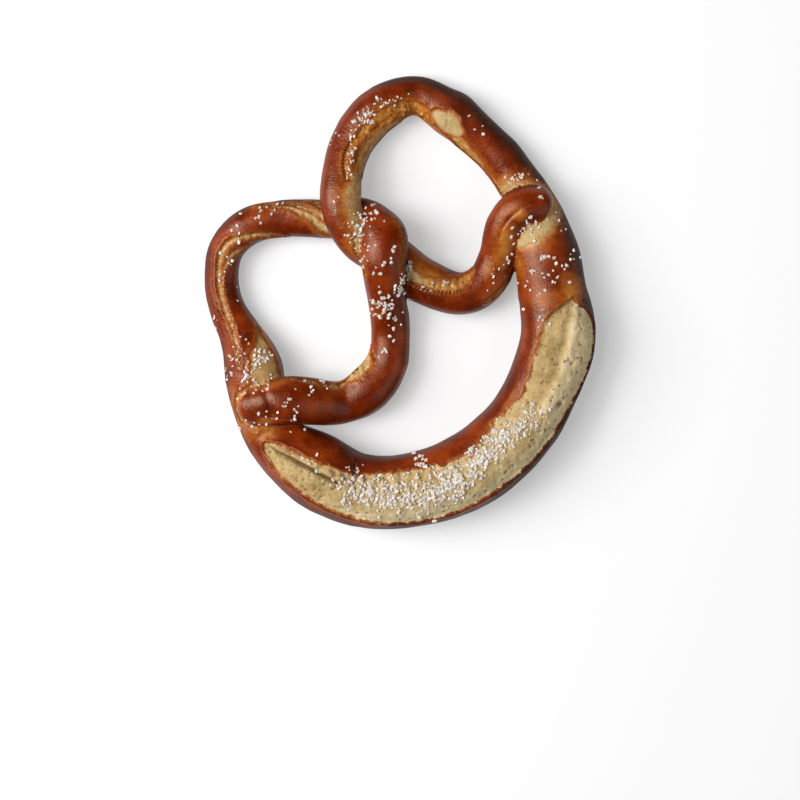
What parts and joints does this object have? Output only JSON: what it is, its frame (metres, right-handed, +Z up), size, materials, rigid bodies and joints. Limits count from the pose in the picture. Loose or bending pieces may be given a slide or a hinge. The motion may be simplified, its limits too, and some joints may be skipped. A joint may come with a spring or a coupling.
{
  "type": "soft pretzel",
  "caption": "Large soft pretzel: a rope of brown-baked dough, thick in the belly and thin in the crossed arms, with a pale split along the belly and coarse salt.",
  "frame": {"origin": "middle of the pretzel's outline, on the flat baked underside", "axes": "+Z up out of the side that shows, +Y from the belly towards the top loop, +X towards the shoulder with the pale joint"},
  "size_m": [0.2427, 0.2817, 0.0393],
  "materials": {
    "crust": "satin, brown lye-baked crust, pale where the dough has torn open",
    "salt": "satin, coarse white salt"
  },
  "bodies": {
    "root": {"pretzel": "crust"}
  },
  "joints": []
}
